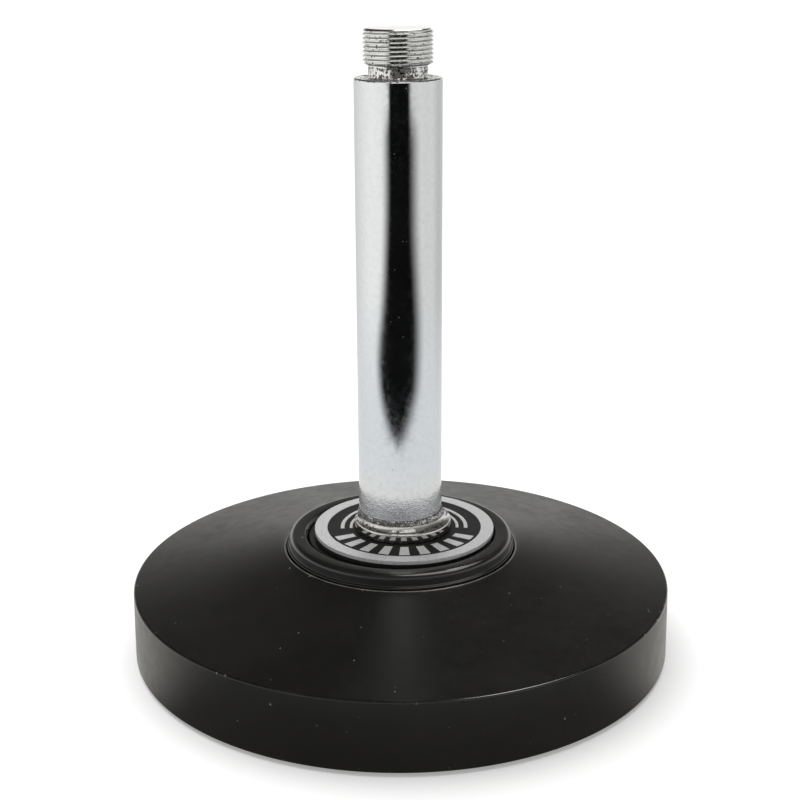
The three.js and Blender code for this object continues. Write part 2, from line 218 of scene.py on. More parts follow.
class Shader:
    """Builds a node tree; lengths are in millimetres of object space."""

    def __init__(self, tree):
        self.tree = tree
        tree.nodes.clear()

    def node(self, kind):
        return self.tree.nodes.new("ShaderNode" + kind)

    def put(self, socket, value):
        """Links a socket, or sets a number, a vector or an RGB colour."""
        if isinstance(value, bpy.types.NodeSocket):
            self.tree.links.new(value, socket)
        elif socket.type == "RGBA":
            socket.default_value = (*value[:3], 1)
        else:
            socket.default_value = value

    @cached_property
    def mm(self):
        scale = self.node("VectorMath")
        scale.operation = "SCALE"
        self.put(scale.inputs[0], self.node("TexCoord").outputs["Object"])
        scale.inputs["Scale"].default_value = 1000.0
        return scale.outputs[0]

    @cached_property
    def xyz(self):
        split = self.node("SeparateXYZ")
        self.put(split.inputs[0], self.mm)
        return split.outputs

    def radius(self):
        x, y = self.xyz[0], self.xyz[1]
        return self.math("SQRT", self.plus(self.times(x, x), self.times(y, y)))

    def vector_times(self, a, b):
        node = self.node("VectorMath")
        node.operation = "MULTIPLY"
        self.put(node.inputs[0], a)
        self.put(node.inputs[1], b)
        return node.outputs[0]

    def math(self, operation, a, b=None, clamp=False):
        node = self.node("Math")
        node.operation = operation
        node.use_clamp = clamp
        self.put(node.inputs[0], a)
        if b is not None:
            self.put(node.inputs[1], b)
        return node.outputs[0]

    def times(self, total, *others):
        for other in others:
            total = self.math("MULTIPLY", total, other)
        return total

    def plus(self, a, b):
        return self.math("ADD", a, b)

    def minus(self, a, b):
        return self.math("SUBTRACT", a, b)

    def blend(self, a, b, weights):
        return self.plus(self.times(a, weights[0]), self.times(b, weights[1]))

    def noise(self, scale, detail, rough, vector=None):
        """Fractal noise; scale is waves per millimetre."""
        node = self.node("TexNoise")
        self.put(node.inputs["Vector"], vector or self.mm)
        node.inputs["Scale"].default_value = scale
        node.inputs["Detail"].default_value = detail
        node.inputs["Roughness"].default_value = rough
        return node.outputs[0]

    def split_colour(self, colour):
        node = self.node("SeparateColor")
        self.put(node.inputs[0], colour)
        return node.outputs

    def cells(self, scale):
        """Voronoi cells: the distance to the centre and the cell's random colour channels."""
        node = self.node("TexVoronoi")
        self.put(node.inputs["Vector"], self.mm)
        node.inputs["Scale"].default_value = scale
        return node.outputs["Distance"], self.split_colour(node.outputs["Color"])

    def ramp(self, value, stops, ease=False):
        """A colour ramp; each stop is (position, grey level or RGB)."""
        node = self.node("ValToRGB")
        self.put(node.inputs[0], value)
        if ease:
            node.color_ramp.interpolation = "EASE"
        elements = node.color_ramp.elements
        while len(elements) < len(stops):
            elements.new(0.5)
        for element, (position, colour) in zip(elements, stops):
            element.position = position
            rgb = colour if isinstance(colour, tuple) else (colour,) * 3
            element.color = (*rgb, 1)
        return node.outputs[0]

    def remap(self, value, span, to=(0, 1), smooth=True):
        """Carries the range `span` over to the range `to`, clamped."""
        node = self.node("MapRange")
        node.interpolation_type = "SMOOTHSTEP" if smooth else "LINEAR"
        self.put(node.inputs[0], value)
        for i, limit in enumerate((*span, *to), 1):
            node.inputs[i].default_value = limit
        return node.outputs[0]

    def mix(self, factor, a, b):
        node = self.node("Mix")
        node.data_type = "RGBA"
        self.put(node.inputs[0], factor)
        self.put(node.inputs[6], a)
        self.put(node.inputs[7], b)
        return node.outputs[2]

    def bump(self, height, strength, distance, normal=None):
        node = self.node("Bump")
        self.put(node.inputs["Height"], height)
        node.inputs["Strength"].default_value = strength
        node.inputs["Distance"].default_value = distance * MM
        if normal is not None:
            self.put(node.inputs["Normal"], normal)
        return node.outputs[0]

    def principled(self, **values):
        """Ends the tree in a Principled shader; underscores stand for spaces in input names."""
        bsdf = self.node("BsdfPrincipled")
        for name, value in values.items():
            self.put(bsdf.inputs[name.replace("_", " ")], value)
        self.put(self.node("OutputMaterial").inputs[0], bsdf.outputs[0])

    def mix_shader(self, factor, a, b):
        node = self.node("MixShader")
        for socket, value in zip(node.inputs, (factor, a, b)):
            self.put(socket, value)
        return node.outputs[0]


def new_material(name):
    mat = bpy.data.materials.new(name)
    mat.use_nodes = True
    return mat, Shader(mat.node_tree)


# ---------------------------------------------------------------- materials


def wear_casting_and_paint_lip_highlight(s, base, rough, patches):
    """Rubs and chips the rim's top edge and the bottom edge, and paints a highlight line on the seat's
    lip.
    """
    r, z = s.radius(), s.xyz[2]
    top_edge = s.times(s.remap(r, span=(BASE_R - 0.95, BASE_R - 0.6)),
                       s.remap(z, span=(RIM_Z - 0.75, RIM_Z - 0.4)))
    low_edge = s.times(s.remap(r, span=(BASE_R - 0.5, BASE_R - 0.1)),
                       s.remap(z, span=(BASE_Z + 0.6, BASE_Z + 0.15)))
    edges = s.math("MAXIMUM", top_edge, low_edge)
    bites = s.noise(scale=0.42, detail=6, rough=0.72)
    chips = s.times(edges, s.remap(bites, span=(0.635, 0.655)))
    rub_noise = s.noise(scale=0.12, detail=3, rough=0.5)
    rub = s.times(edges, s.remap(rub_noise, span=(0.4, 0.7), to=(0.0, 0.5)))
    rubbed, chipped, lip_highlight_colour = (0.055, 0.053, 0.05), (0.20, 0.185, 0.165), (0.115, 0.11, 0.102)
    base = s.mix(s.times(rub, 0.22), base, rubbed)
    base = s.mix(chips, base, chipped)
    # painted highlight: the seat's lip is lightened all round, in uneven patches, standing in for the
    # light it catches
    lip = s.times(s.remap(r, span=(27.9, 28.02)), s.remap(r, span=(28.42, 28.3)),
                  s.remap(z, span=(SEAT_Z - 0.3, SEAT_Z - 0.05)))
    uneven = s.remap(patches, span=(0.3, 0.7), to=(0.5, 1.0))
    base = s.mix(s.times(lip, uneven), base, lip_highlight_colour)
    rough = s.minus(rough, s.times(top_edge, 0.17))
    return base, s.plus(rough, s.times(chips, 0.2))


def paint_material(name, tint, rough, coat, speck_share, worn_and_lip_highlight):
    """Black paint with sparse dust. speck_share is the share of cells holding a speck."""
    mat, s = new_material(name)
    broad = s.noise(scale=0.035, detail=4, rough=0.6)
    mid = s.noise(scale=0.35, detail=4, rough=0.55)
    fine = s.noise(scale=3.2, detail=3, rough=0.6)
    base = s.mix(s.remap(broad, span=(0.35, 0.7)), tint, [c * 1.35 for c in tint])

    # pale specks of uneven size
    distance, (red, green, _) = s.cells(scale=0.8)
    threshold = 1.0 - speck_share
    patchy = s.remap(mid, span=(0.42, 0.62), to=(0.4, 1.0))
    size = s.times(s.remap(red, span=(threshold, 1.0), to=(0.08, 0.20), smooth=False), patchy)
    speck = s.math("LESS_THAN", s.plus(distance, s.times(fine, 0.03)), size)
    speck = s.times(speck, s.math("GREATER_THAN", red, threshold))
    speck_strength = s.remap(green, span=(0.0, 1.0), to=(0.06, 0.5))
    dust = (0.34, 0.33, 0.30)
    base = s.mix(s.times(speck, speck_strength), base, dust)

    roughness = s.remap(s.blend(mid, broad, weights=(0.5, 0.5)), span=(0.35, 0.65), to=rough)
    # wear on the rim's edges, and a painted highlight on the seat's lip
    if worn_and_lip_highlight:
        base, roughness = wear_casting_and_paint_lip_highlight(s, base, roughness, patches=mid)
    orange_peel = s.blend(s.noise(scale=0.9, detail=2, rough=0.5), fine, weights=(0.7, 0.3))
    normal = s.bump(orange_peel, strength=0.16, distance=0.03)
    normal = s.bump(fine, strength=0.3, distance=0.008, normal=normal)
    normal = s.bump(speck, strength=0.2, distance=0.05, normal=normal)
    s.principled(Base_Color=base, Roughness=roughness, Metallic=0.0, Normal=normal,
                 Specular_IOR_Level=0.5, Coat_Weight=coat, Coat_Roughness=0.12)
    return mat


def plate_material(name, tint, rough, pit_share, lathe_lines=0.0, grime=(), etching=None):
    """Bright plating with small pits.

    lathe_lines: strength of the fine level grooves.
    grime: dark bands, each (from z, to z, fade, share covered, spots per mm).
    etching: (z where it is full, z where it ends, bump depth), all in mm.
    """
    mat, s = new_material(name)
    fine = s.noise(scale=4.0, detail=3, rough=0.65)
    mid = s.noise(scale=0.8, detail=4, rough=0.6)
    broad = s.noise(scale=0.06, detail=3, rough=0.5)
    distance, channels = s.cells(scale=1.1)
    pit = s.times(s.math("LESS_THAN", distance, 0.13),
                  s.math("GREATER_THAN", channels[0], 1.0 - pit_share))
    pit_grey, grime_brown, etched_grey = (0.33, 0.33, 0.34), (0.022, 0.018, 0.013), (0.10, 0.095, 0.09)
    base = s.mix(s.remap(mid, span=(0.35, 0.7)), tint, [c * 0.955 for c in tint])
    base = s.mix(s.times(pit, 0.4), base, pit_grey)
    roughness = s.remap(s.blend(mid, broad, weights=(0.6, 0.4)), span=(0.35, 0.65), to=rough)
    roughness = s.plus(roughness, s.times(pit, 0.2))
    metal = 1.0

    for low, high, fade, share, grain in grime:
        band = s.times(s.remap(s.xyz[2], span=(low - fade, low + fade)),
                       s.remap(s.xyz[2], span=(high + fade, high - fade)))
        spots = s.blend(s.noise(scale=grain, detail=5, rough=0.7),
                        s.noise(scale=grain * 0.28, detail=3, rough=0.6), weights=(0.7, 0.3))
        # the threshold drops, and more spots show, where the band is strong
        cut = s.minus(0.66, s.times(band, 0.24 * share))
        mask = s.times(s.math("DIVIDE", s.minus(spots, cut), 0.035, clamp=True), band)
        base = s.mix(s.times(mask, 0.92), base, grime_brown)
        roughness = s.plus(roughness, s.times(mask, 0.4))
        metal = s.minus(metal, s.times(mask, 0.92))

    normal = s.bump(s.blend(fine, mid, weights=(0.35, 0.65)), strength=0.10, distance=0.03)
    if lathe_lines:
        flattened = s.vector_times(s.mm, (0.02, 0.02, 1.0))
        lines = s.noise(scale=6.0, detail=2, rough=0.6, vector=flattened)
        normal = s.bump(lines, strength=lathe_lines, distance=0.02, normal=normal)
    if etching:
        full_z, end_z, depth = etching
        fade = s.remap(s.xyz[2], span=(end_z, full_z))
        grain = s.times(s.plus(s.noise(scale=2.6, detail=3, rough=0.7),
                               s.noise(scale=0.9, detail=2, rough=0.6)), fade)
        normal = s.bump(grain, strength=1.0, distance=depth, normal=normal)
        roughness = s.plus(roughness, s.times(fade, 0.06))
        speck_noise = s.noise(scale=3.0, detail=4, rough=0.75)
        specks = s.times(s.remap(speck_noise, span=(0.56, 0.62)), fade)
        base = s.mix(s.times(specks, 0.6), base, etched_grey)
    s.principled(Base_Color=base, Metallic=metal, Roughness=roughness, Normal=normal)
    return mat


def mottled_material(name, dark, light, scale, rough, bump, metallic=0.0, specular=0.4):
    """Two tones mottled by noise, with roughness following the same pattern."""
    mat, s = new_material(name)
    broad = s.noise(scale=scale, detail=5, rough=0.6)
    fine = s.noise(scale=scale * 6, detail=3, rough=0.6)
    base = s.mix(s.remap(broad, span=(0.3, 0.7)), dark, light)
    roughness = s.remap(broad, span=(0.3, 0.7), to=rough)
    normal = s.bump(s.blend(broad, fine, weights=(0.5, 0.5)), strength=bump, distance=0.06)
    s.principled(Base_Color=base, Roughness=roughness, Metallic=metallic, Normal=normal,
                 Specular_IOR_Level=specular)
    return mat


PAINT = paint_material("satin_black_paint", (0.0044, 0.0042, 0.0039), rough=(0.29, 0.37),
                       coat=0.0, speck_share=0.14, worn_and_lip_highlight=True)
ENAMEL = paint_material("gloss_black_enamel", (0.0075, 0.0073, 0.007), rough=(0.13, 0.21),
                        coat=0.35, speck_share=0.03, worn_and_lip_highlight=False)
TUBE_PLATE = plate_material(
    "bright_plate", (0.735, 0.75, 0.757), rough=(0.055, 0.12), pit_share=0.10,
    grime=[(34.8, 36.0, 1.2, 0.72, 3.2), (137.2, 138.5, 0.15, 0.7, 1.4)],
    etching=(35.0, 43.0, 0.05))
CUP_PLATE = plate_material(
    "bright_plate_cup", (0.66, 0.645, 0.62), rough=(0.06, 0.14), pit_share=0.2,
    grime=[(33.6, 34.0, 0.3, 1.35, 2.0), (33.6, 35.4, 0.4, 0.85, 2.8),
           (31.9, 33.2, 0.4, 0.66, 0.9), (29.5, 30.3, 0.35, 0.8, 1.6)],
    etching=(34.6, 32.6, -0.02))
TURNED_PLATE = plate_material(
    "turned_plate", (0.80, 0.80, 0.785), rough=(0.06, 0.12), pit_share=0.1, lathe_lines=0.12,
    grime=[(137.4, 140.3, 0.25, 0.75, 1.5), (140.5, 148.0, 0.2, 0.42, 1.8)])
STUD_PLATE = plate_material("stud_plate", (0.60, 0.60, 0.59), rough=(0.22, 0.36),
                            pit_share=0.25, lathe_lines=0.25)
ZINC = mottled_material("dull_zinc", (0.52, 0.52, 0.49), (0.66, 0.65, 0.60),
                        scale=0.5, rough=(0.28, 0.46), bump=0.25, metallic=1.0)
SPRING_STEEL = mottled_material("dark_spring_steel", (0.20, 0.20, 0.20), (0.33, 0.32, 0.31),
                                scale=0.6, rough=(0.32, 0.5), bump=0.3, metallic=1.0)
RUBBER = mottled_material("moulded_rubber", (0.014, 0.014, 0.014), (0.028, 0.027, 0.026),
                          scale=0.8, rough=(0.72, 0.9), bump=0.35, specular=0.3)
FIBRE = mottled_material("black_fibre", (0.012, 0.012, 0.012), (0.03, 0.029, 0.028),
                         scale=1.6, rough=(0.7, 0.9), bump=0.5, specular=0.25)
SILVER = mottled_material("etched_silver", (0.60, 0.605, 0.605), (0.74, 0.745, 0.745),
                          scale=1.5, rough=(0.34, 0.5), bump=0.16, metallic=0.4)
BLACK_FIELD = mottled_material("badge_black_field", (0.006, 0.006, 0.006), (0.018, 0.0175, 0.017),
                               scale=1.8, rough=(0.42, 0.6), bump=0.3, specular=0.12)

# ---------------------------------------------------------------- base


def cone_z(r):
    """Height of the casting's top, a very slightly hollow cone."""
    t = (RIM_R - r) / (RIM_R - SEAT_R)
    return RIM_Z + (SEAT_Z - RIM_Z) * t - CONE_SAG * math.sin(math.pi * t)


def cut_foot_pockets(ob):
    """Cuts a stepped round pocket for each rubber foot."""
    bm = bmesh.new()
    pad_r, peg_r = FOOT_R + 0.15, FOOT_PEG_R + 0.08
    step_z, below = BASE_Z + POCKET_DEPTH, BASE_Z - 2
    for low, high in foot_boxes:
        top = high[2] + 0.3
        profile = [(0, below), (pad_r, below), (pad_r, step_z), (peg_r, step_z),
                   (peg_r, top), (0, top)]
        revolve(bm, profile, 64, ((low[0] + high[0]) / 2, (low[1] + high[1]) / 2))
    cutter = make_object("pocket_cutter", bm, [PAINT])
    pockets = ob.modifiers.new("pockets", "BOOLEAN")
    pockets.operation = "DIFFERENCE"
    pockets.solver = "EXACT"
    pockets.object = cutter
    bpy.context.view_layer.update()
    depsgraph = bpy.context.evaluated_depsgraph_get()
    cut_mesh = bpy.data.meshes.new_from_object(ob.evaluated_get(depsgraph))
    ob.modifiers.clear()
    ob.data = cut_mesh
    ob.data.set_sharp_from_angle(angle=math.radians(32))
    bpy.data.objects.remove(cutter)


def build_casting():
    profile = rounded([
        # underside, from the bore out to the foot of the side
        (8.2, 15.8, 0.3), (18.9, 15.8, 1.2), (19.9, 5.0), (20.6, 4.4, 0.5), (51.8, 4.4, 1.6),
        (53.0, BASE_Z, 0.5), (BASE_R, BASE_Z, 0.65, 6),
        (RIM_R, RIM_Z, 0.5, 7),
        *[(r, cone_z(r)) for r in (60, 56, 52, 48, 44, 40, 36, 32.5, 30, 28.75)],
        # the seat's lip, the groove inside it and the middle boss
        (28.42, SEAT_Z - 0.02, 0.12, 3), (28.3, SEAT_Z + 0.12, 0.08, 3),
        (28.0, SEAT_Z + 0.12, 0.1, 4), (28.0, 22.4), (22.4, 22.4),
        (22.4, 27.9, 0.3), (8.2, 27.9, 0.4),
    ])
    ob = turned("base_casting_finish", split_long(profile, 3.0), PAINT, seg=256)
    cut_foot_pockets(ob)
    return hand_over(ob, "base_casting", ride="base")


def build_collar():
    low, top = collar_lo[2], collar_hi[2]
    profile = rounded([
        (22.65, low, 0.2), (27.65, low, 0.2), (27.65, 25.78, 0.16, 4), (27.1, 25.86, 0.16, 4),
        (26.98, top, 1.45, 12), (24.6, top), (23.35, top - 0.06, 0.16, 4),
        (22.65, top - 1.0, 0.2),
    ])
    ob = turned("hub_collar_finish", split_long(profile, 2.0), ENAMEL, seg=256, sharp=40)
    return hand_over(ob, "hub_collar", ride="base")


def build_backing():
    """The fibre washer under the badge."""
    low, top = backing_lo[2], backing_hi[2]
    profile = rounded([(8.75, low, 0.1), (BACKING_R, low, 0.12),
                       (BACKING_R, top, 0.12), (8.75, top, 0.1)])
    ob = turned("badge_backing_finish", split_long(profile, 2.5), FIBRE, seg=160,
                centre=(BACKING_X, 0.0))
    hand_over(ob, "badge_backing", ride="base")


# radii that bound the badge's cells, from its hole to its outer edge
BADGE_RADII = [9.1, 11.0, 12.6, 13.3, 14.6, 15.5, 17.2, 18.0, BADGE_RING_R, BADGE_R]


def badge_raised(r, degrees):
    """Whether the badge stands up at a radius and an angle from the front."""
    if r > BADGE_RING_R:
        return True
    off_front = abs((degrees + 180.0) % 360.0 - 180.0)
    if off_front <= 72.0:
        # radial bars 8 degrees wide, one every 16 degrees
        return 13.3 < r < 18.0 and (off_front + 4.0) % 16.0 < 8.0
    if 84.0 < off_front < 166.0:
        # two arcs on each side
        return 12.6 < r < 13.3 or 14.6 < r < 15.5
    return False


def build_badge():
    """The badge: a raised ring, bars and arcs on a sunk field."""
    top, low = badge_hi[2], badge_lo[2]
    field = top - BADGE_RELIEF
    seg = 360
    last = len(BADGE_RADII) - 1
    bm = bmesh.new()
    verts = {}

    def vert(j, i, z):
        key = (j, i % seg, round(z, 4))
        if key not in verts:
            angle = math.radians(-90.0 + i * 360.0 / seg)
            verts[key] = bm.verts.new(polar(BADGE_RADII[j], angle, z, BADGE_X))
        return verts[key]

    def quad(*corners, mat=0):
        bm.faces.new([vert(*corner) for corner in corners]).material_index = mat

    up = [[badge_raised((inner + outer) / 2, (i + 0.5) * 360.0 / seg) for i in range(seg)]
          for inner, outer in zip(BADGE_RADII, BADGE_RADII[1:])]
    for j in range(last):
        for i in range(seg):
            raised = up[j][i]
            z = top if raised else field
            quad((j, i, z), (j + 1, i, z), (j + 1, i + 1, z), (j, i + 1, z),
                 mat=0 if raised else 1)
            # walls between a raised cell and a sunk one
            if raised != up[j][(i + 1) % seg]:
                quad((j, i + 1, field), (j + 1, i + 1, field),
                     (j + 1, i + 1, top), (j, i + 1, top))
            if j + 1 < last and raised != up[j + 1][i]:
                quad((j + 1, i, field), (j + 1, i + 1, field),
                     (j + 1, i + 1, top), (j + 1, i, top))
    for i in range(seg):
        # hole wall, outer wall and underside
        quad((0, i, field), (0, i + 1, field), (0, i + 1, low), (0, i, low))
        quad((last, i, top), (last, i + 1, top), (last, i + 1, low), (last, i, low))
        quad((0, i, low), (0, i + 1, low), (last, i + 1, low), (last, i, low))
    ob = make_object("badge_plate_finish", bm, [SILVER, BLACK_FIELD], sharp=25)
    edges = ob.modifiers.new("edges", "BEVEL")
    edges.width = 0.03 * MM
    edges.segments = 2
    edges.limit_method = "ANGLE"
    edges.angle_limit = math.radians(50)
    return hand_over(ob, "badge_plate", ride="base")


# ---------------------------------------------------------------- foot cup and stem tube

# how much of the flange's shift applies: (z, share), fading out upwards
CUP_SHIFT_SHARES = [(29.9, 1.0), (32.0, 1.0), (32.4, 0.88), (32.9, 0.68),
                    (33.5, 0.4), (34.3, 0.14), (35.0, 0.0)]

# the cup's outside between its lower and upper edges: (r, z)
CUP_FLARE = [
    (11.76, 30.3), (11.76, 30.9), (11.74, 31.5), (11.7, 31.9), (11.64, 32.05), (11.53, 32.17),
    (11.38, 32.28), (11.2, 32.41), (11.02, 32.57), (10.86, 32.77), (10.72, 33.0), (10.6, 33.26),
    (10.49, 33.56), (10.39, 33.9), (10.3, 34.28), (10.22, 34.7),
]


def cup_shift(r, z):
    if r < CUP_BORE_R or (r < 10.3 and 30.5 < z < 31.0):
        return 0.0, 0.0
    for (z0, share0), (z1, share1) in zip(CUP_SHIFT_SHARES, CUP_SHIFT_SHARES[1:]):
        if z <= z1:
            t = max(0.0, (z - z0) / (z1 - z0))
            share = share0 + (share1 - share0) * t
            return CUP_SHIFT[0] * share, CUP_SHIFT[1] * share
    return 0.0, 0.0


def build_cup():
    low, top = cup_lo[2], cup_hi[2]
    profile = [
        (8.15, low), (11.6, low), (11.74, low + 0.16),
        *CUP_FLARE,
        (10.18, top - 0.1), (10.14, top - 0.02), (10.09, top),
        (CUP_BORE_R, top - 0.04), (CUP_BORE_R, 30.9), (8.3, 30.9), (8.15, 30.75),
    ]
    ob = turned("foot_cup_finish", split_long(profile, 1.0), CUP_PLATE, seg=192, sharp=50,
                shift=cup_shift)
    return hand_over(ob, "foot_cup", ride="base")


def build_tube():
    low, top = tube_lo[2], tube_hi[2]
    profile = rounded([(TUBE_BORE_R, low, 0.2), (STEM_R, low, 0.25),
                       (STEM_R, top, 0.36, 5), (TUBE_BORE_R, top, 0.05, 2)])
    ob = turned("stem_tube_finish", split_long(profile, 4.0), TUBE_PLATE, seg=256, sharp=40)
    return hand_over(ob, "stem_tube", ride="stem")


# ---------------------------------------------------------------- threaded plugs


def threaded(name, below, z0, z1, above, mat):
    """A turned body with a right-hand thread from z0 to z1.

    below and above are the plain profile rows, (r, z), under and over the thread.
    """
    seg = 144
    end_r = THREAD_R - 0.55
    root_r = THREAD_R - 0.6134 * THREAD_PITCH
    # one pitch of worn thread: (share of the pitch, r)
    tooth = [(-0.07, root_r), (0.07, root_r), (0.27, THREAD_R - 0.012), (0.29, THREAD_R),
             (0.49, THREAD_R), (0.51, THREAD_R), (0.60, THREAD_R - 0.022),
             (0.69, THREAD_R - 0.07), (0.75, THREAD_R - 0.135)]

    def thread_point(turn, r, i):
        z = z0 + (turn + i / seg) * THREAD_PITCH
        if z < z0 + 0.03:
            return end_r, z0
        if z > z1 - 0.03:
            return end_r, z1
        # chamfers at both ends
        return min(r, THREAD_R, end_r + (z1 - z) * 1.05, end_r + (z - z0) * 1.6), z

    # each row runs once round, with its first angle repeated at the end
    turns = int(math.ceil((z1 - z0) / THREAD_PITCH))
    rows = [[point] * (seg + 1) for point in below + [(end_r, z0)]]
    rows += [[thread_point(turn + share, r, i) for i in range(seg + 1)]
             for turn in range(-1, turns + 1) for share, r in tooth]
    rows += [[point] * (seg + 1) for point in [(end_r, z1)] + above]

    bm = bmesh.new()
    verts = {}

    def vert(j, i):
        r, z = rows[j][i]
        angle = 2 * math.pi * i / seg
        place = (round(r * math.cos(angle), 5), round(r * math.sin(angle), 5), round(z, 5))
        place = tuple(0.0 if abs(c) < 1e-5 else c for c in place)
        if place not in verts:
            verts[place] = bm.verts.new([c * MM for c in place])
        return verts[place]

    for j in range(len(rows) - 1):
        for i in range(seg):
            corners = (vert(j, i), vert(j, i + 1), vert(j + 1, i + 1), vert(j + 1, i))
            corners = list(dict.fromkeys(corners))
            if len(corners) >= 3:
                try:
                    bm.faces.new(corners)
                except ValueError:
                    # rows squeezed together at the thread's ends may give the same face twice
                    pass
    return make_object(name, bm, [mat], sharp=28)


def build_top_plug():
    low, top, tube_top = top_lo[2], top_hi[2], tube_hi[2]
    ob = threaded(
        "top_thread_plug_finish",
        below=[
            (0, low), (7.75, low), (PLUG_R, low + 0.6), (PLUG_R, tube_top - 0.08),
            # the neck between the tube and the thread
            (8.3, tube_top - 0.05), (6.95, tube_top - 0.05), (6.8, tube_top + 0.05),
            (6.72, tube_top + 0.25), (6.72, tube_top + 0.35), (6.72, 139.0), (6.72, 140.1),
            (6.72, 140.2), (6.78, 140.4), (6.95, 140.53),
        ],
        z0=140.55,
        z1=top - 0.02,
        above=[(6.9, top), (4.0, top), (0, top)],
        mat=TURNED_PLATE,
    )
    return hand_over(ob, "top_thread_plug", ride="stem")


def build_bottom_plug():
    low, top = bottom_lo[2], bottom_hi[2]
    ob = threaded(
        "bottom_clamp_plug_finish",
        below=[(0, low), (4.0, low), (6.8, low)],
        z0=low + 0.02,
        z1=19.0,
        above=[(7.5, 19.05), (7.94, 19.6), (7.94, 31.4), (PLUG_R, 31.8),
               (PLUG_R, top - 0.6), (7.75, top), (0, top)],
        mat=STUD_PLATE,
    )
    hand_over(ob, "bottom_clamp_plug", ride="stem")


# ---------------------------------------------------------------- washers, nut and feet


def build_flat_washer():
    low, top, outer_r = washer_lo[2], washer_hi[2], 16.6
    profile = rounded([(WASHER_BORE_R, low, 0.15), (outer_r, low, 0.35),
                       (outer_r, top, 0.35), (WASHER_BORE_R, top, 0.15)])
    ob = turned("flat_washer_finish", split_long(profile, 2.0), ZINC, seg=128)
    hand_over(ob, "flat_washer", ride="clamp_washers")


def build_spring_washer():
    """A split ring, open at the back, with slanted ends."""
    low, top = spring_lo[2], spring_hi[2]
    inner, outer, chamfer = WASHER_BORE_R, 13.0, 0.18
    half_gap, end_slant = 4.6, 2.2  # degrees, and degrees per mm of height
    steps = 120
    section = [
        (inner + chamfer, low), (outer - chamfer, low),
        (outer, low + chamfer), (outer, top - chamfer),
        (outer - chamfer, top), (inner + chamfer, top),
        (inner, top - chamfer), (inner, low + chamfer),
    ]
    bm = bmesh.new()
    rings = []
    for k in range(steps + 1):
        along = 90 + half_gap + (360 - 2 * half_gap) * k / steps
        slant = end_slant if k in (0, steps) else 0
        rings.append([
            bm.verts.new(polar(r, math.radians(along + (z - (low + top) / 2) * slant), z))
            for r, z in section
        ])
    count = len(section)
    for ring, following in zip(rings, rings[1:]):
        for i in range(count):
            k = (i + 1) % count
            bm.faces.new([ring[i], ring[k], following[k], following[i]])
    bm.faces.new(rings[0])
    bm.faces.new(list(reversed(rings[-1])))
    ob = make_object("spring_washer_finish", bm, [SPRING_STEEL], sharp=30)
    hand_over(ob, "spring_washer", ride="clamp_washers")


def build_nut():
    low, top = nut_lo[2], nut_hi[2]
    half_flats = 23.8 / 2
    bore_r, bore_chamfer, face_in_r, face_out_r = 8.05, 0.75, 8.8, 10.5
    seg = 192

    def side_r(z, angle):
        """The hexagon, cut back near both faces by a chamfer cone over the corners."""
        hexagon = half_flats / math.cos((angle % (math.pi / 3)) - math.pi / 6)
        return min(hexagon, half_flats - 0.15 + min(z - low, top - z) * 1.75)

    lower = [low + rise for rise in (0, 0.25, 0.5, 0.8, 1.15, 1.6)]
    heights = lower + [low + (top - low) * 0.5] + [top - (z - low) for z in reversed(lower)]
    rows = [[point] * seg for point in ((bore_r, top - bore_chamfer), (bore_r, low + bore_chamfer),
                                        (face_in_r, low), (face_out_r, low))]
    rows += [[(side_r(z, 2 * math.pi * i / seg), z) for i in range(seg)] for z in heights]
    rows += [[point] * seg for point in ((face_out_r, top), (face_in_r, top))]
    bm = bmesh.new()
    skin(bm, [[bm.verts.new(polar(r, 2 * math.pi * i / seg, z)) for i, (r, z) in enumerate(row)]
              for row in rows], seg)
    ob = make_object("hex_nut_finish", bm, [ZINC], sharp=18)
    hand_over(ob, "hex_nut", ride="clamp_nut")


def build_feet():
    """Rubber feet: a pad with a shallow groove underneath and a peg on top."""
    for i, (low, high) in enumerate(foot_boxes, 1):
        centre = ((low[0] + high[0]) / 2, (low[1] + high[1]) / 2)
        pad_top, peg_top = BASE_Z + 0.98, high[2]
        profile = rounded([
            (0, 0), (3.2, 0.0, 0.2), (3.5, 0.25, 0.2), (3.8, 0.0, 0.2), (FOOT_R, 0, 0.5),
            (FOOT_R, pad_top, 0.15), (FOOT_PEG_R, pad_top, 0.1), (FOOT_PEG_R, peg_top, 0.6),
            (0, peg_top),
        ])
        ob = turned(f"rubber_foot_{i}_finish", profile, RUBBER, seg=64, centre=centre)
        hand_over(ob, f"rubber_foot_{i}", ride="base")


# ---------------------------------------------------------------- floor

# the painted dark gap that mirror-like surfaces see in the table, a painted reflection: (distance from
# the stem in mm, reach to the left, reach to the right), in degrees from the front
GAP_REACH = [
    (158, -20, -36), (170, 8, -4), (181, 19, 4), (192, 27, 14), (204, 34, 19),
    (216, 39, 28), (229, 43, 33), (256, 47.5, 36), (286, 46.5, 38), (336, 37, 38.5),
    (374, 32.4, 35), (416, 29, 33), (464, 26.5, 30.4), (517, 24.3, 27.2), (648, 21.2, 27),
    (935, 21.7, 28), (1190, 23, 28), (1425, 22, 28), (1520, 28, 29), (1990, 30, 30),
]
GAP_LOG_START, GAP_LOG_SPAN = 2.2, 1.1  # log10 of the distances that the ramp covers
REACH_OFFSET, REACH_SCALE = 40, 120  # pack degrees into a ramp's 0 to 1

# brightness of the room around the stem: (degrees from the front, brightness)
ROOM_BRIGHTNESS = [
    (-180, 0.78), (-156, 0.84), (-115, 1.08), (-91, 1.2), (-70, 1.23), (-50, 1.2), (0, 1.0),
    (45, 0.92), (58, 0.97), (77, 0.94), (98, 0.95), (125, 0.74), (150, 0.74), (180, 0.78),
]
ROOM_SCALE = 1.4  # packs the brightness into a ramp's 0 to 1

FLOOR_GREY = (0.93, 0.93, 0.93)
FLOOR_LIFT = 0.30  # glow added where the camera sees the floor
FLOOR_SEEN = 0.88  # brightness in reflections


